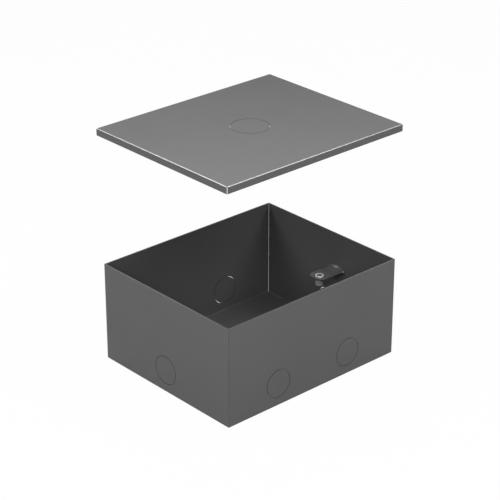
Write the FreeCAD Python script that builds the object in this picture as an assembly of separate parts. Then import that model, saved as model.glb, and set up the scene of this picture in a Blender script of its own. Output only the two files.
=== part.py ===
import FreeCAD, Part
import math
import os

from FreeCAD import Vector

# A floor box of folded sheet steel with a lift-off lid, in millimetres.
# The origin is the middle of the box's underside, X runs along its long walls and Z points up.

# Sheet and folds
sheet = 1.0
bend_inside_radius = 0.2

# Box, outside sizes
box_length = 184.0
box_width = 153.8
box_height = 88.2
box_seam = 0.15

# Lid: a shallow pan that drops over the rim, held above the box by lid_lift
lid_fit = 0.43
lid_height = 6.1
lid_seam = 0.5
lid_lift = 118.9

# Knockouts: a disc in a round hole, apart from it by a slit and held by two thin bridges
entry_hole = 25.3
entry_above_underside = 7.65
entry_offset = 38.8
lid_entry_hole = 32.3
knockout_slit = 0.38
bridge_width = 2.0
bridge_depth = 0.5
bridge_gap = 0.05

# Fixing lugs: flat plates welded by one end to the short walls
lug_below_rim = 33.0
lug_offset = 9.5
lug_width = 16.8
lug_reach = 26.3
lug_sheet = 1.2
lug_end_flat = 4.0
weld_leg = 5.0

# Flanged threaded bushes, one in each lug
thread_diameter = 5.0
bush_wall = 0.9
bush_head_overhang = 0.5
bush_head_height = 1.0
bush_head_round = 0.4
bush_length = 8.0
bush_from_lug_end = 5.6
bush_off_centre = 1.0
bush_end_chamfer = 0.2
bush_lead_in = 0.15
bush_fit = 0.03

# Sizes that follow
bend_outside_radius = bend_inside_radius + sheet
wall_inside = box_length / 2 - sheet
lid_overhang = sheet + bend_inside_radius + lid_fit
lid_length = box_length + 2 * lid_overhang
lid_width = box_width + 2 * lid_overhang
lid_top = box_height + sheet + lid_lift
entry_height = entry_above_underside + entry_hole / 2
lug_top = box_height - lug_below_rim
lug_end = wall_inside - lug_reach
lug_corner_radius = (lug_width - lug_end_flat) / 2
thread_radius = thread_diameter / 2
bush_radius = thread_radius + bush_wall
bush_head_radius = bush_radius + bush_head_overhang

UP = Vector(0, 0, 1)
tiny = sheet / 1000


def runs_along(edge, direction):
    """True for a straight edge that is parallel to a direction."""
    start, end = [vertex.Point for vertex in edge.Vertexes]
    return (end - start).cross(direction).Length < tiny


def folded_block(length, width, height, radius):
    """A block with its four lower edges rolled, so that the rolls meet in mitres at the corners."""
    block = Part.makeBox(length, width, height, Vector(-length / 2, -width / 2, 0))
    rolled = []
    for direction in (Vector(1, 0, 0), Vector(0, 1, 0)):
        lower = [e for e in block.Edges if runs_along(e, direction) and e.CenterOfMass.z < height / 2]
        rolled.append(block.makeFillet(radius, lower))
    return rolled[0].common(rolled[1])


def corner_slits(length, width, height, seam):
    """Four upright slots on the diagonals, each from where two bend lines cross out past the corner."""
    reach = 2 * bend_outside_radius
    slits = []
    for quarter in range(4):
        angle = 45 + 90 * quarter
        side_x = math.copysign(1, math.cos(math.radians(angle)))
        side_y = math.copysign(1, math.sin(math.radians(angle)))
        slit = Part.makeBox(reach, seam, height, Vector(0, -seam / 2, 0))
        slit.rotate(Vector(), UP, angle)
        slit.translate(Vector(side_x * (length / 2 - bend_outside_radius),
                              side_y * (width / 2 - bend_outside_radius), 0))
        slits.append(slit)
    return slits


def folded_pan(length, width, height, seam):
    """One sheet folded up on four sides, open at the top and along its four upright seams."""
    outside = folded_block(length, width, height, bend_outside_radius)
    inside = folded_block(length - 2 * sheet, width - 2 * sheet, height, bend_inside_radius)
    inside.translate(Vector(0, 0, sheet))
    return outside.cut(inside).cut(corner_slits(length, width, height, seam))


def on_face(shape, point, outward):
    """Places a shape made about +Z so that +Z points out of a wall and X lies level in it."""
    turn = FreeCAD.Rotation(UP.cross(outward), UP, outward, "ZXY")
    placed = shape.copy()
    placed.Placement = FreeCAD.Placement(point, turn)
    return placed


def punched_hole(hole):
    """The slug that a punch of this diameter takes out of a sheet whose outer face is at zero."""
    return Part.makeCylinder(hole / 2, 3 * sheet, Vector(0, 0, -2 * sheet))


def knockout(hole):
    """A disc flush with the sheet, with two bridges level with its inner face."""
    disc = Part.makeCylinder(hole / 2 - knockout_slit, sheet, Vector(0, 0, -sheet))
    bar = Part.makeBox(hole, bridge_width, bridge_depth, Vector(-hole / 2, -bridge_width / 2, -sheet))
    reach = Part.makeCylinder(hole / 2 - bridge_gap, sheet, Vector(0, 0, -sheet))
    return disc.fuse(bar.common(reach)).removeSplitter()


def wall_entries():
    """Name, middle of the outer face and outward direction of each knockout in the walls."""
    entries = []
    for side, outward in (("front", Vector(0, -1, 0)), ("back", Vector(0, 1, 0))):
        for end, along in (("left", -entry_offset), ("right", entry_offset)):
            middle = outward * (box_width / 2) + Vector(along, 0, entry_height)
            entries.append((side + "_" + end, middle, outward))
    for side, outward in (("left", Vector(-1, 0, 0)), ("right", Vector(1, 0, 0))):
        entries.append((side, outward * (box_length / 2) + Vector(0, 0, entry_height), outward))
    return entries


def box_tray():
    """The folded box with its round entries punched."""
    tray = folded_pan(box_length, box_width, box_height, box_seam)
    return tray.cut([on_face(punched_hole(entry_hole), middle, outward)
                     for _, middle, outward in wall_entries()])


def lid_pan():
    """The folded lid, turned over so that its skirt points down, with its entry punched."""
    pan = folded_pan(lid_length, lid_width, lid_height, lid_seam)
    pan.rotate(Vector(), Vector(1, 0, 0), 180)
    pan = pan.cut(punched_hole(lid_entry_hole))
    pan.translate(UP * lid_top)
    return pan


def lid_knockout():
    """The larger knockout in the middle of the lid."""
    disc = knockout(lid_entry_hole)
    disc.translate(UP * lid_top)
    return disc


def lug_bar(start, length):
    """A bar of the lug's cross-section, along X from a given place."""
    return Part.makeBox(length, lug_width, lug_sheet,
                        Vector(start, -lug_offset - lug_width / 2, lug_top - lug_sheet))


def lug():
    """The lug on the right wall: a plate with a rounded free end and a hole for its bush."""
    bar = lug_bar(lug_end, lug_reach)
    end_edges = [e for e in bar.Edges if runs_along(e, UP) and e.CenterOfMass.x < lug_end + lug_reach / 2]
    plate = bar.makeFillet(lug_corner_radius, end_edges)
    hole = Part.makeCylinder(bush_radius + bush_fit, lug_sheet, bush_seat() - UP * lug_sheet)
    return plate.cut(hole)


def lug_weld():
    """The hollow fillet weld round the lug's root, where it meets the wall."""
    stub = lug_bar(wall_inside - 2 * weld_leg, 2 * weld_leg)
    border = 2 * weld_leg
    corner = Vector(wall_inside, -lug_offset - lug_width / 2 - border, lug_top - lug_sheet - border)
    wall = Part.makeBox(sheet, lug_width + 2 * border, lug_sheet + 2 * border, corner)
    bare = wall.fuse(stub).removeSplitter()
    middle = Vector(wall_inside, -lug_offset, lug_top - lug_sheet / 2)
    root = [e for e in bare.Edges
            if abs(e.CenterOfMass.x - middle.x) < tiny
            and abs(e.CenterOfMass.y - middle.y) < lug_width / 2 + weld_leg
            and abs(e.CenterOfMass.z - middle.z) < lug_sheet / 2 + weld_leg]
    return bare.makeFillet(weld_leg, root).cut(bare)


def bush_seat():
    """The point on the lug's top face where the bush's axis passes."""
    return Vector(lug_end + bush_from_lug_end, -lug_offset - bush_off_centre, lug_top)


def threaded_bush():
    """A turned bush: a head with a rounded rim, a plain body below it and a bore right through."""
    outline = [
        (thread_radius + bush_lead_in, bush_head_height),
        (bush_head_radius, bush_head_height),
        (bush_head_radius, 0),
        (bush_radius, 0),
        (bush_radius, bush_end_chamfer - bush_length),
        (bush_radius - bush_end_chamfer, -bush_length),
        (thread_radius + bush_lead_in, -bush_length),
        (thread_radius, bush_lead_in - bush_length),
        (thread_radius, bush_head_height - bush_lead_in),
    ]
    corners = [Vector(radius, 0, height) for radius, height in outline]
    section = Part.Face(Part.makePolygon(corners + corners[:1]))
    turned = section.revolve(Vector(), UP, 360)
    rim_length = 2 * math.pi * bush_head_radius
    rim = [e for e in turned.Edges
           if e.CenterOfMass.z > bush_head_height / 2 and abs(e.Length - rim_length) < tiny]
    bush = turned.makeFillet(bush_head_round, rim)
    bush.translate(bush_seat())
    return bush


def both_sides(name, shape):
    """The fixing on the right wall and its twin on the left, half a turn about the box's middle."""
    twin = shape.copy()
    twin.rotate(Vector(), UP, 180)
    return {"right_" + name: shape, "left_" + name: twin}


pieces = {"box_tray": box_tray(), "lid_pan": lid_pan(), "lid_knockout": lid_knockout()}
for name, middle, outward in wall_entries():
    pieces[name + "_knockout"] = on_face(knockout(entry_hole), middle, outward)
pieces.update(both_sides("lug", lug()))
pieces.update(both_sides("lug_weld", lug_weld()))
pieces.update(both_sides("threaded_bush", threaded_bush()))

os.makedirs("parts", exist_ok=True)
for node, shape in pieces.items():
    print(node, shape.ShapeType, len(shape.Solids), round(shape.Volume, 3), shape.isValid())
    shape.exportStep("parts/" + node + ".step")
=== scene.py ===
# %% [markdown]
# # A folded steel floor box with its lid lifted off
# A floor box is cast into a screed, so that sockets can sit level with the floor. This one is folded from
# sheet steel and coated dark grey. The solids come ready-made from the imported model. This lesson gives
# them their finish, adds the detail that is too fine for solids, and lights the scene.

import math

import bpy
import numpy as np
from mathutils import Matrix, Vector


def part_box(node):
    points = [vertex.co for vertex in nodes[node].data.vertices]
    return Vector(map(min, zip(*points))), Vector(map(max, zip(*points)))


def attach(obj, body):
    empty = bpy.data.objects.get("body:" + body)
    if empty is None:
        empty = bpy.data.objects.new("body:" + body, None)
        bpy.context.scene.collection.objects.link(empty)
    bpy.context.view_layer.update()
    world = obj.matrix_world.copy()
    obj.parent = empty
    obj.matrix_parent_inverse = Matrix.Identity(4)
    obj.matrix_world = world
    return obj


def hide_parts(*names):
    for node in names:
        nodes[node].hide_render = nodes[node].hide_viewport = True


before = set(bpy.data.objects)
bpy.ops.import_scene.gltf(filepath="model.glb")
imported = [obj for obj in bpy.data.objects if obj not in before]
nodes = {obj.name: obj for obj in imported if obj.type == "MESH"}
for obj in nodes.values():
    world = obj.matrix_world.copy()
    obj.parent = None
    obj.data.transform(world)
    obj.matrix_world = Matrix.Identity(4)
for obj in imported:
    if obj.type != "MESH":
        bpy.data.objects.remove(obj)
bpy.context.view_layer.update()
print("solids:", sorted(nodes))

# %% [markdown]
# ## Camera
# The corners of the box and lid in the photograph fix the camera: a long lens that looks down on the front
# corner. A camera could be placed by hand until the picture fits. Here it is written as an azimuth, an
# elevation and a distance from a point on the box's upright middle line, because those can be worked out
# from the corners and each says something plain about the view.

# %% Set the camera
IMAGE_SIDE = 500
SENSOR_WIDTH = 36.0
FOCAL_PIXELS = 1795.0
AZIMUTH = math.radians(-42.086)
ELEVATION = math.radians(25.655)
DISTANCE = 1.4746
AIM = Vector((0, 0, 0.09867))

towards_camera = Vector((math.sin(AZIMUTH) * math.cos(ELEVATION),
                         -math.cos(AZIMUTH) * math.cos(ELEVATION),
                         math.sin(ELEVATION)))
camera_data = bpy.data.cameras.new("camera")
camera_data.sensor_width = SENSOR_WIDTH
camera_data.lens = SENSOR_WIDTH * FOCAL_PIXELS / IMAGE_SIDE
camera = bpy.data.objects.new("camera", camera_data)
camera.location = AIM + DISTANCE * towards_camera
camera.rotation_euler = towards_camera.to_track_quat("Z", "Y").to_euler()
bpy.context.scene.collection.objects.link(camera)
bpy.context.scene.camera = camera
print("lens mm:", round(camera_data.lens, 2))

# %% [markdown]
# ## Colours and nodes
# Colours are written as they look on a screen, in sRGB hex, and turned to the linear values that light
# sums need. One small function adds a node, sets its properties and fills its inputs, where an input may
# be a plain value or another node's output. Writing every node out in full would work too, but three lines
# for each node would hide what a material does.

# %% Colour and node helpers
def linear(hex_colour):
    """Turns '#rrggbb' into linear red, green, blue and alpha by the sRGB curve."""
    coded = np.array([int(hex_colour[i:i + 2], 16) for i in (1, 3, 5)]) / 255
    return (*np.where(coded <= 0.04045, coded / 12.92, ((coded + 0.055) / 1.055) ** 2.4), 1.0)


def add(tree, kind, inputs=None, **settings):
    """Adds one shader node, sets its properties and fills its inputs with values or links."""
    made = tree.nodes.new("ShaderNode" + kind)
    for name, value in settings.items():
        setattr(made, name, value)
    for name, value in (inputs or {}).items():
        if isinstance(value, bpy.types.NodeSocket):
            tree.links.new(value, made.inputs[name])
        else:
            made.inputs[name].default_value = value
    return made


print("screen grey #808080 in linear light:", round(linear("#808080")[0], 3))

# %% [markdown]
# ## Uneven finishes
# No coat or plate is quite even. Its tone and gloss drift in soft clouds, a few centimetres wide on a coat
# and a few millimetres on a plate. An image could hold such clouds, but a noise texture needs no unwrapping
# and its size can be given in millimetres.

# %% Let a value drift in clouds
MM = 0.001
NOISE_LOW = 0.3
NOISE_HIGH = 0.7
NOISE_DETAIL = 3.0


def per_mm(size):
    """The texture scale that makes a pattern repeat about every so many millimetres."""
    return 1 / (size * MM)


def clouds(tree, place, size, low, high):
    """A value that drifts from low to high in clouds of so many millimetres.

    The noise lies mostly between its own low and high, and that range is stretched to the ends asked for.
    """
    noise = add(tree, "TexNoise", {"Vector": place, "Scale": per_mm(size), "Detail": NOISE_DETAIL})
    drift = add(tree, "MapRange", {"Value": noise.outputs["Fac"], "From Min": NOISE_LOW,
                                   "From Max": NOISE_HIGH, "To Min": low, "To Max": high})
    return drift.outputs["Result"]


print("noise between", NOISE_LOW, "and", NOISE_HIGH, "is stretched to each range")

# %% [markdown]
# ## Rubbing and painted highlights on folded edges
# A coat thins over a fold and is rubbed there, and a fold catches a thin line of light. The mask below
# places both, the rubbing and a painted highlight. That could be painted on as an image, but a fold's place
# is known from the solid's box, so the distance to the fold line gives the same mask with plain arithmetic.

# %% Mask a folded edge
FOLD_CORE = 0.35


def near_fold(tree, place, half_x, half_y, level, reach):
    """One on a level folded edge and nothing a reach away from it.

    The edge is a rectangle of half_x by half_y at a height. The distance to it is the larger of how far in
    from the rectangle's sides a point lies and how far above or below the height it is.
    """
    spread = add(tree, "VectorMath", {0: place}, operation="ABSOLUTE")
    apart = add(tree, "SeparateXYZ", {"Vector": spread.outputs["Vector"]})
    from_x = add(tree, "Math", {0: half_x, 1: apart.outputs["X"]}, operation="SUBTRACT")
    from_y = add(tree, "Math", {0: half_y, 1: apart.outputs["Y"]}, operation="SUBTRACT")
    inward = add(tree, "Math", {0: from_x.outputs["Value"], 1: from_y.outputs["Value"]}, operation="MINIMUM")
    beside = add(tree, "Math", {0: inward.outputs["Value"]}, operation="ABSOLUTE")
    above = add(tree, "Math", {0: apart.outputs["Z"], 1: level}, operation="SUBTRACT")
    height = add(tree, "Math", {0: above.outputs["Value"]}, operation="ABSOLUTE")
    distance = add(tree, "Math", {0: beside.outputs["Value"], 1: height.outputs["Value"]},
                   operation="MAXIMUM")
    mask = add(tree, "MapRange", {"Value": distance.outputs["Value"], "From Min": reach,
                                  "From Max": FOLD_CORE * reach}, interpolation_type="SMOOTHSTEP")
    return mask.outputs["Result"]


print("fold mask is full over the inner", FOLD_CORE, "of its reach")

# %% [markdown]
# ## Colour of the coat, with painted shade in the slits
# The box, the lid, the knockouts and the lugs are steel with a baked satin coat in a dark neutral grey. Its
# tone drifts slowly over the sheet. Shade is painted into the slits round the knockouts and other narrow
# crevices: the colour goes dark where ambient occlusion over a millimetre finds them shut in. The walls of
# the slits could have a material of their own, but the occlusion finds them by itself.

# %% Colour the coat and paint shade into the slits
COAT_GREY = "#4b4c4b"
TONE_SIZE = 45
TONE_SWING = 0.03
SLIT_SHADE_REACH = 1.0 * MM
SLIT_SHADE_RAYS = 8
SLIT_SHADE_FULL = 0.55
SLIT_SHADE_NONE = 0.97


def coat_colour_with_painted_shade(tree, place, grey):
    """The grey times its slow drift of tone, times a painted shade from how open a point lies: black deep
    inside a slit.
    """
    tone = clouds(tree, place, TONE_SIZE, 1 - TONE_SWING, 1 + TONE_SWING)
    # Painted shade: ambient occlusion darkens the colour in slits and crevices.
    slit = add(tree, "AmbientOcclusion", {"Distance": SLIT_SHADE_REACH}, samples=SLIT_SHADE_RAYS)
    painted_shade_factor = add(tree, "MapRange", {"Value": slit.outputs["AO"], "From Min": SLIT_SHADE_FULL,
                                        "From Max": SLIT_SHADE_NONE})
    shade = add(tree, "Math", {0: tone, 1: painted_shade_factor.outputs["Result"]}, operation="MULTIPLY")
    colour = add(tree, "Mix", {"Factor": 1.0, "A": linear(grey), "B": shade.outputs["Value"]},
                 data_type="RGBA", blend_type="MULTIPLY")
    return colour.outputs["Result"]


print("coat:", COAT_GREY, "with tone clouds of", TONE_SIZE, "mm")

# %% [markdown]
# ## Materials on the solids
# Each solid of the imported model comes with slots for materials. A material could be built by hand in the
# shader editor and dropped on each solid. Six materials on fifteen solids are quicker and surer by script:
# one helper starts a material with an empty node tree, and another puts it in the slots of named solids.

# %% Start a material and dress solids with it
def blank_material(name):
    """A new material with an empty node tree, and its output node."""
    material = bpy.data.materials.new(name)
    material.use_nodes = True
    material.node_tree.nodes.clear()
    return material, material.node_tree, add(material.node_tree, "OutputMaterial")


def dress(material, names):
    """Puts a material in every slot of the named solids."""
    for name in names:
        for slot in nodes[name].material_slots:
            slot.material = material


print("solids to dress:", len(nodes))

# %% [markdown]
# ## Satin coat on the sheet
# The baked coat has a soft gloss with faint clouds where it was handled, and a fine orange peel, the dimples
# that form as it sets. The dimples could be modelled, but they are only hundredths of a millimetre deep. A
# bump, which tilts the shading and leaves the surface alone, breaks up reflections just as well. One
# function makes every coat, and only the grey and the paler edges differ; those stand for rubbing and for
# painted highlights.

# %% Put the coat together
COAT_ROUGHNESS = 0.34
COAT_IOR = 1.4
GLOSS_SIZE = 20
GLOSS_SWING = 0.015
PEEL_SIZE = 0.8
PEEL_DETAIL = 1.0
PEEL_DEPTH = 0.05 * MM
PEEL_STRENGTH = 0.05


def satin_coat(name, grey=COAT_GREY, wear_and_highlights=()):
    """A coated steel: uneven grey with painted shade in its slits, cloudy gloss, fine orange peel, and paler
    edges.

    wear_and_highlights holds pairs: what near_fold takes after the place, and the grey, roughness and metal
    on that edge. The paler grey stands for rubbing and for painted highlights.
    """
    material, tree, output = blank_material(name)
    place = add(tree, "TexCoord").outputs["Object"]
    colour = coat_colour_with_painted_shade(tree, place, grey)
    gloss = clouds(tree, place, GLOSS_SIZE, COAT_ROUGHNESS - GLOSS_SWING, COAT_ROUGHNESS + GLOSS_SWING)
    peel = add(tree, "TexNoise", {"Vector": place, "Scale": per_mm(PEEL_SIZE), "Detail": PEEL_DETAIL})
    dimple = add(tree, "Bump", {"Height": peel.outputs["Fac"], "Strength": PEEL_STRENGTH,
                                "Distance": PEEL_DEPTH})
    shader = add(tree, "BsdfPrincipled", {"Normal": dimple.outputs["Normal"], "IOR": COAT_IOR})
    # Each edge mixes in a paler grey, which stands for rubbing and for a painted highlight.
    for edge, (wear_and_highlight_grey, worn_roughness, worn_metal) in wear_and_highlights:
        wear_and_highlight_mask = near_fold(tree, place, *edge)
        wear_and_highlight_colour = add(tree, "Mix", {"Factor": wear_and_highlight_mask, "A": colour, "B": linear(wear_and_highlight_grey)}, data_type="RGBA")
        colour = wear_and_highlight_colour.outputs["Result"]
        smoothed = add(tree, "MapRange", {"Value": wear_and_highlight_mask, "To Min": gloss, "To Max": worn_roughness})
        gloss = smoothed.outputs["Result"]
        if worn_metal:
            bare = add(tree, "Math", {0: wear_and_highlight_mask, 1: worn_metal}, operation="MULTIPLY")
            tree.links.new(bare.outputs["Value"], shader.inputs["Metallic"])
    tree.links.new(colour, shader.inputs["Base Color"])
    tree.links.new(gloss, shader.inputs["Roughness"])
    tree.links.new(shader.outputs["BSDF"], output.inputs["Surface"])
    return material


knockouts = [name for name in nodes if "knockout" in name]
dress(satin_coat("satin_coated_steel"), knockouts)
print("coated:", knockouts)

# %% [markdown]
# ## Coat on the lugs, with painted shade
# The lugs were welded in before the box was coated. Their coat, and their welds', is given a darker grey
# than the sheet's: painted shade that keeps them from standing out too light under the lamps. A material of
# their own could be written for them and their welds, but the same coat with another grey keeps every other
# trait alike.

# %% Coat the lugs in a darker grey as painted shade
# A darker grey on the lugs and their welds: painted shade.
LUG_SHADED_GREY = "#444544"
lugs = [name for name in nodes if "lug" in name]
lug_coat_with_painted_shade = satin_coat("satin_coated_steel_lug_shaded", LUG_SHADED_GREY)
dress(lug_coat_with_painted_shade, lugs)
print("coated darker:", lugs)

# %% [markdown]
# ## Rubbed folds on the lid, with a painted highlight
# The lid is lifted off and set down by its edges, so the coat on its folds is rubbed until some of the steel
# shines through: smoother and nearly half metal. Their paler grey is partly that steel and partly a painted
# highlight that brightens the lines of light along the folds. The rubbed line could be a strip of its own,
# but the lid's box ends on those folds, so its highest corner is enough to place the mask.

# %% Rub the lid's folds and paint a highlight on them
LID_REACH = 1.0 * MM
# The paler grey on the lid's folds is partly rubbed steel and partly a painted highlight.
LID_WORN_AND_HIGHLIT = ("#929392", 0.25, 0.42)
lid_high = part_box("lid_pan")[1]
lid_fold_wear_and_highlight = ((*lid_high, LID_REACH), LID_WORN_AND_HIGHLIT)
dress(satin_coat("satin_coated_steel_rubbed_and_highlit", wear_and_highlights=[lid_fold_wear_and_highlight]), ["lid_pan"])
print("lid folds at height mm:", round(lid_high[2] / MM, 1))

# %% [markdown]
# ## Painted highlights on the rim and inner folds of the box
# The cut rim of the box and the folds round its floor get a lighter grey, a painted highlight for the light
# they catch. Nothing rubs them down to the steel, so they stay as dull as the rest. Each could be a thin
# piece laid on top, but two masks in one material leave the sheet whole.

# %% Paint highlights on the rim and the folds inside the box
SHEET = 1.0 * MM
TRAY_REACH = 0.7 * MM
# Lighter greys on the inner folds and the rim: painted highlights.
INNER_FOLD_HIGHLIGHT = ("#5e5f5e", COAT_ROUGHNESS, 0.0)
RIM_HIGHLIGHT = ("#565756", COAT_ROUGHNESS, 0.0)
tray_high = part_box("box_tray")[1]
inner_folds = ((tray_high[0] - SHEET, tray_high[1] - SHEET, SHEET, TRAY_REACH), INNER_FOLD_HIGHLIGHT)
rim = ((*tray_high, TRAY_REACH), RIM_HIGHLIGHT)
dress(satin_coat("satin_coated_steel_edge_highlights", wear_and_highlights=[inner_folds, rim]), ["box_tray"])
print("rim at height mm:", round(tray_high[2] / MM, 1))

# %% [markdown]
# ## Turning marks on the bushes
# The bushes are turned on a lathe, which leaves fine grooves round their axis. The grooves could be laid on
# with a UV map. Measuring how far a point lies from the axis and how high it is gives them without one. They
# are drawn coarser than a lathe leaves them, so that they show.

# %% Mark the turned faces
TURNING_MARK = 0.4
WAVE_REPEAT = math.pi / 10
MARK_WANDER = 0.4
MARK_DEPTH = 0.02 * MM
MARK_STRENGTH = 0.1


def turning_marks(tree, radius, height):
    """A groove pattern that repeats along radius + height: rings on the head's face and down the side."""
    track = add(tree, "Math", {0: radius, 1: height}, operation="ADD")
    along = add(tree, "CombineXYZ", {"X": track.outputs["Value"]})
    marks = add(tree, "TexWave", {"Vector": along.outputs["Vector"],
                                  "Scale": per_mm(TURNING_MARK) * WAVE_REPEAT, "Distortion": MARK_WANDER})
    groove = add(tree, "Bump", {"Height": marks.outputs["Fac"], "Strength": MARK_STRENGTH,
                                "Distance": MARK_DEPTH})
    return groove.outputs["Normal"]


print("turning marks every", TURNING_MARK, "mm")

# %% [markdown]
# ## Zinc plate on the threaded bushes
# Over the turned steel lies a dull zinc plate: a pale grey that is half metal, half chalky. The bore and its
# thread get a darker grey, painted shade for the depth of the hole. The bore could have a material of its
# own, but the distance from the axis is at hand already and tells the bore from the plate.

# %% Plate the bushes
BORE_RADIUS = 2.5 * MM
BORE_EDGE = 0.1 * MM
PLATE_GREY = "#bebfbf"
# A darker grey in the bore and on its thread: painted shade.
BORE_SHADE_GREY = "#7a7a78"
PLATE_CLOUD = 3
PLATE_DULLEST = 0.9
PLATE_METAL = 0.6
PLATE_ROUGHNESS = 0.4


def zinc_plate(name, axis_x, axis_y):
    """A dull cloudy plate with turning marks round an upright axis, and painted shade, a darker grey, in the
    bore within its radius.
    """
    material, tree, output = blank_material(name)
    place = add(tree, "TexCoord").outputs["Object"]
    centred = add(tree, "Mapping", {"Vector": place, "Location": (-axis_x, -axis_y, 0)})
    apart = add(tree, "SeparateXYZ", {"Vector": centred.outputs["Vector"]})
    level = add(tree, "CombineXYZ", {"X": apart.outputs["X"], "Y": apart.outputs["Y"]})
    radius = add(tree, "VectorMath", {0: level.outputs["Vector"]}, operation="LENGTH").outputs["Value"]
    tone = clouds(tree, place, PLATE_CLOUD, PLATE_DULLEST, 1.0)
    plated = add(tree, "Mix", {"Factor": 1.0, "A": linear(PLATE_GREY), "B": tone},
                 data_type="RGBA", blend_type="MULTIPLY")
    outside = add(tree, "MapRange", {"Value": radius, "From Min": BORE_RADIUS,
                                     "From Max": BORE_RADIUS + BORE_EDGE})
    colour = add(tree, "Mix", {"Factor": outside.outputs["Result"], "A": linear(BORE_SHADE_GREY),
                               "B": plated.outputs["Result"]}, data_type="RGBA")
    shader = add(tree, "BsdfPrincipled", {
        "Base Color": colour.outputs["Result"], "Metallic": PLATE_METAL, "Roughness": PLATE_ROUGHNESS,
        "Normal": turning_marks(tree, radius, apart.outputs["Z"])})
    tree.links.new(shader.outputs["BSDF"], output.inputs["Surface"])
    return material


plates = {}
for name in nodes:
    if "bush" in name:
        low, high = np.array(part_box(name))
        side = name.split("_")[0]
        plates[name] = zinc_plate(side + "_zinc_plate", *(low + high)[:2] / 2)
        dress(plates[name], [name])
print("plated:", list(plates))

# %% [markdown]
# ## Pieces from grids
# A new piece is a grid of points: rings of points round a section, carried along a path. The points could
# be placed one by one in a loop, but numpy works them all out at once, and the faces join each ring to the
# next.

# %% Make a closed tube from a grid
def tube_faces(along, around):
    """Quads that join each ring of points to the next, and a cap on the first and last ring."""
    row, spot = np.meshgrid(np.arange(along - 1), np.arange(around), indexing="ij")
    beside = (spot + 1) % around
    sides = np.stack([row * around + spot, row * around + beside,
                      (row + 1) * around + beside, (row + 1) * around + spot], axis=-1)
    first = list(range(around))[::-1]
    last = list(range((along - 1) * around, along * around))
    return sides.reshape(-1, 4).tolist() + [first, last]


def piece_from(name, rings, material, body):
    """A mesh piece from an array of along x around x 3 points, which rides on a body."""
    mesh = bpy.data.meshes.new(name)
    mesh.from_pydata(rings.reshape(-1, 3).tolist(), [], tube_faces(*rings.shape[:2]))
    mesh.shade_smooth()
    mesh.materials.append(material)
    piece = bpy.data.objects.new(name, mesh)
    bpy.context.scene.collection.objects.link(piece)
    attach(piece, body)
    print(name, len(mesh.polygons), "faces")
    return piece


print("two rings of four points give", len(tube_faces(2, 4)), "faces, as on a cube")

# %% [markdown]
# ## Threads in the bushes
# Each bush takes an M5 screw. The solid has a plain bore of the thread's outer diameter, so the thread is
# a ridge that stands in from the bore wall and climbs it as a helix. A boolean cut could make it, but a
# ridge swept along the helix is lighter and keeps its faces even.

# %% Wind the threads
PITCH = 0.8 * MM
RIDGE_DEPTH = 0.4 * MM
RIDGE_ROOT = 0.68 * MM
RIDGE_CREST = 0.12 * MM
SUNK = 0.02 * MM
LEAD_IN = 0.15 * MM
RINGS_PER_TURN = 48
THINNEST = 0.02


def thread_ridge(middle, low, high):
    """A helix at angle a: height = low + pitch * a / full turn, with a ridge profile that fades in and out.

    The profile has a root on the bore wall and a crest that is the ridge's depth further in. Over the first
    and last half turn both its depth and its height grow from nearly nothing.
    """
    turns = (high - low) / PITCH
    angle = np.linspace(0, 2 * np.pi * turns, int(turns * RINGS_PER_TURN))
    fade = np.clip(np.minimum(angle, angle[-1] - angle) / np.pi, THINNEST, 1)[:, None]
    inward = np.array([-SUNK, RIDGE_DEPTH, RIDGE_DEPTH, -SUNK])
    upward = np.array([-RIDGE_ROOT, -RIDGE_CREST, RIDGE_CREST, RIDGE_ROOT]) / 2
    radius = BORE_RADIUS - np.where(inward > 0, inward * fade, inward)
    height = low + PITCH * angle[:, None] / (2 * np.pi) + upward * fade
    return np.stack([middle[0] + radius * np.cos(angle)[:, None],
                     middle[1] + radius * np.sin(angle)[:, None],
                     np.broadcast_to(height, radius.shape)], axis=-1)


for name, plate in plates.items():
    low, high = np.array(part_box(name))
    ridge = thread_ridge((low + high) / 2, low[2] + LEAD_IN, high[2] - LEAD_IN)
    piece_from(name.replace("bush", "bush_thread"), ridge, plate, "box")

# %% [markdown]
# ## Welds at the lugs
# Each lug is welded to its wall all round its root, and the weld is dressed smooth before the coat goes on.
# What shows is a hollow flare that is highest in the middle of the lug and fades to its edges. A fillet of
# one radius would have hard corners at those edges. Carrying a section from the lug to the wall, which
# grows and turns from the lug's oblong into a slightly pointed oval, gives that form.

# %% Shape the welds
FLARE_REACH = 8.0 * MM
FLARE_RISE = 6.0 * MM
FLARE_SPREAD = 3.0 * MM
FLARE_SQUARE = 0.12
FLARE_POINT = 1.35
FLARE_RINGS = 25
FLARE_SPOTS = 72
CREASE = math.radians(50)


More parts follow.
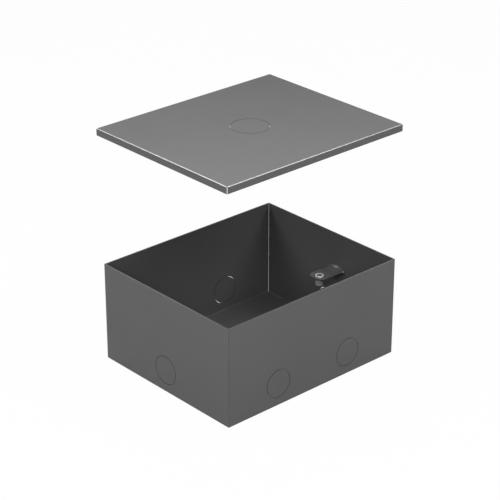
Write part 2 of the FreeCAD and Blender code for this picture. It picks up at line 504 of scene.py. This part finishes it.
def weld_flare(wall_x, into_box, lug_low, lug_high):
    """A trumpet from the lug to the wall, with an oval section that grows on its way.

    With t from 0 on the lug to a quarter turn at the wall, a section lies reach * (1 - sin t) from the wall
    and has swelled by 1 - cos t, which makes the hollow. Its half sizes are the lug's, less a hair that
    starts it inside the lug, plus spread or rise times the swell. Round it, at angle a, a point lies at the
    half sizes times cos a and sin a, each raised to a power. The power grows with sin t, from nearly
    nothing, which gives the lug's oblong, to over one, which gives a slightly pointed oval. It stops
    growing at the wall, so the skin only spreads there and meets the wall flat.
    """
    t = np.linspace(0, np.pi / 2, FLARE_RINGS)[:, None]
    a = np.linspace(0, 2 * np.pi, FLARE_SPOTS, endpoint=False)[None, :]
    swell = 1 - np.cos(t)
    power = FLARE_SQUARE + (FLARE_POINT - FLARE_SQUARE) * np.sin(t)
    middle = (lug_low + lug_high) / 2
    half = (lug_high - lug_low) / 2 - SUNK
    across = (half[1] + FLARE_SPREAD * swell) * np.sign(np.cos(a)) * np.abs(np.cos(a)) ** power
    upward = (half[2] + FLARE_RISE * swell) * np.sign(np.sin(a)) * np.abs(np.sin(a)) ** power
    out = np.broadcast_to(wall_x + into_box * FLARE_REACH * (1 - np.sin(t)), across.shape)
    rings = np.stack([out, middle[1] + across, middle[2] + upward], axis=-1)
    return rings if into_box < 0 else rings[:, ::-1]


for end in ("right", "left"):
    low, high = np.array(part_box(end + "_lug_weld"))
    lug_low, lug_high = np.array(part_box(end + "_lug"))
    wall_x, into_box = (high[0], -1) if end == "right" else (low[0], 1)
    rings = weld_flare(wall_x, into_box, lug_low, lug_high)
    flare = piece_from(end + "_weld_flare", rings, lug_coat_with_painted_shade, "box")
    flare.data.set_sharp_from_angle(angle=CREASE)
    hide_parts(end + "_lug_weld")

# %% [markdown]
# ## White floor
# The photograph has a plain white background. A white world would do that, but it would also shine on the
# lid. Here only the floor is white. The camera sees a white glow with a trace of the floor's matt grey,
# which keeps the object's shadow. Reflections see a quarter of that glow, and all other light meets a pale
# matt grey.

# %% Make the white floor
SHOWN = 0.97
MIRRORED = 0.25
WHITE = "#ffffff"
FLOOR_GREY = "#c8c8c8"


def white_floor():
    """A matt floor that the camera sees as white, and reflections as somewhat brighter than it is."""
    material, tree, output = blank_material("white_floor")
    glow = add(tree, "Emission", {"Color": linear(WHITE), "Strength": 1.0})
    matt = add(tree, "BsdfDiffuse", {"Color": linear(FLOOR_GREY)})
    path = add(tree, "LightPath")
    direct = add(tree, "Math", {0: path.outputs["Is Camera Ray"], 1: path.outputs["Is Transmission Ray"]},
                 operation="MAXIMUM")
    shown = add(tree, "Math", {0: direct.outputs["Value"], 1: SHOWN}, operation="MULTIPLY")
    mirrored = add(tree, "Math", {0: path.outputs["Is Glossy Ray"], 1: MIRRORED}, operation="MULTIPLY")
    share = add(tree, "Math", {0: shown.outputs["Value"], 1: mirrored.outputs["Value"]}, operation="MAXIMUM")
    mixed = add(tree, "MixShader", {"Fac": share.outputs["Value"], 1: matt.outputs["BSDF"],
                                    2: glow.outputs["Emission"]})
    tree.links.new(mixed.outputs["Shader"], output.inputs["Surface"])
    return material


floor_white = white_floor()
print("floor material:", floor_white.name)

# %% [markdown]
# ## Backdrop
# In a studio the floor sweeps up into the backdrop, so that no line shows where they meet and a level view
# sees white as well. A flat plane would end in a horizon. Here the floor is a dish, level out to five metres
# and then turned up in a quarter circle.

# %% Sweep the floor up into a backdrop
FLAT_RADIUS = 5.0
SWEEP_RADIUS = 1.2
SWEEP_RINGS = 16
SWEEP_SPOTS = 96
FLOOR_DROP = 0.2 * MM


def floor_sweep():
    """Level out to a radius, then a quarter circle upward: radius + sweep * sin t, sweep * (1 - cos t).

    All of it lies a hair below the box, so that the floor and the underside never share a plane.
    """
    t = np.linspace(0, np.pi / 2, SWEEP_RINGS)[:, None]
    around = np.linspace(0, 2 * np.pi, SWEEP_SPOTS, endpoint=False)[None, :]
    radius = FLAT_RADIUS + SWEEP_RADIUS * np.sin(t)
    height = np.broadcast_to(SWEEP_RADIUS * (1 - np.cos(t)) - FLOOR_DROP, (SWEEP_RINGS, SWEEP_SPOTS))
    return np.stack([radius * np.cos(around), radius * np.sin(around), height], axis=-1)


floor_mesh = bpy.data.meshes.new("floor")
open_top = tube_faces(SWEEP_RINGS, SWEEP_SPOTS)[:-1]
floor_mesh.from_pydata(floor_sweep().reshape(-1, 3).tolist(), [], [face[::-1] for face in open_top])
floor_mesh.materials.append(floor_white)
floor = bpy.data.objects.new("floor", floor_mesh)
bpy.context.scene.collection.objects.link(floor)
print("floor:", len(floor_mesh.polygons), "faces")

# %% [markdown]
# ## Room
# The room round the lamps is nearly dark. A bright room would light every side alike and lay a grey veil on
# the satin coat. A trace of even light is enough to keep the deepest corners from going black.

# %% Make the room
AMBIENT = 0.02
world = bpy.data.worlds.new("studio_room")
bpy.context.scene.world = world
world.use_nodes = True
room = world.node_tree
room.nodes.clear()
sky = add(room, "Background", {"Color": linear(WHITE), "Strength": AMBIENT})
room_output = add(room, "OutputWorld")
room.links.new(sky.outputs["Background"], room_output.inputs["Surface"])
print("even light from the room:", AMBIENT)

# %% [markdown]
# ## Lamps
# Sheet metal is lit with softboxes, square lamps whose light has soft edges. A small lamp or a sun would
# throw hard shadows into the box. The rear softbox is mirrored in the lid and gives it a slow gradient. The
# large front one hangs above the camera's line of sight, lights the outer walls and reaches into the box.
# The left and right ones draw the bright lines on the lid's folds, and the small low one lifts the outer
# walls.

# %% Hang the lamps
def softbox(name, place, side, watts):
    """A square area lamp that points from its place to the camera's aim."""
    data = bpy.data.lights.new(name, "AREA")
    data.shape = "SQUARE"
    data.size = side
    data.energy = watts
    lamp = bpy.data.objects.new(name, data)
    lamp.location = place
    lamp.rotation_euler = (Vector(place) - AIM).to_track_quat("Z", "Y").to_euler()
    bpy.context.scene.collection.objects.link(lamp)


# Each lamp's place and side are in metres, and its power is in watts.
LAMPS = {
    "left_softbox": ((-0.48, 0.52, 0.75), 0.45, 5.1),
    "right_softbox": ((0.45, -0.47, 0.81), 0.45, 4.5),
    "rear_softbox": ((0.52, 0.59, 1.0), 0.75, 6.1),
    "front_softbox": ((-0.62, -0.69, 0.92), 1.0, 17.5),
    "low_front_softbox": ((-0.95, -1.05, 0.25), 0.4, 1.8),
}
for name, (place, side, watts) in LAMPS.items():
    softbox(name, place, side, watts)
print("lamps:", list(LAMPS))

# %% [markdown]
# ## View transform
# The view transform is Standard, so a colour renders as it is written.

# %% Set the view transform
bpy.context.scene.view_settings.view_transform = "Standard"
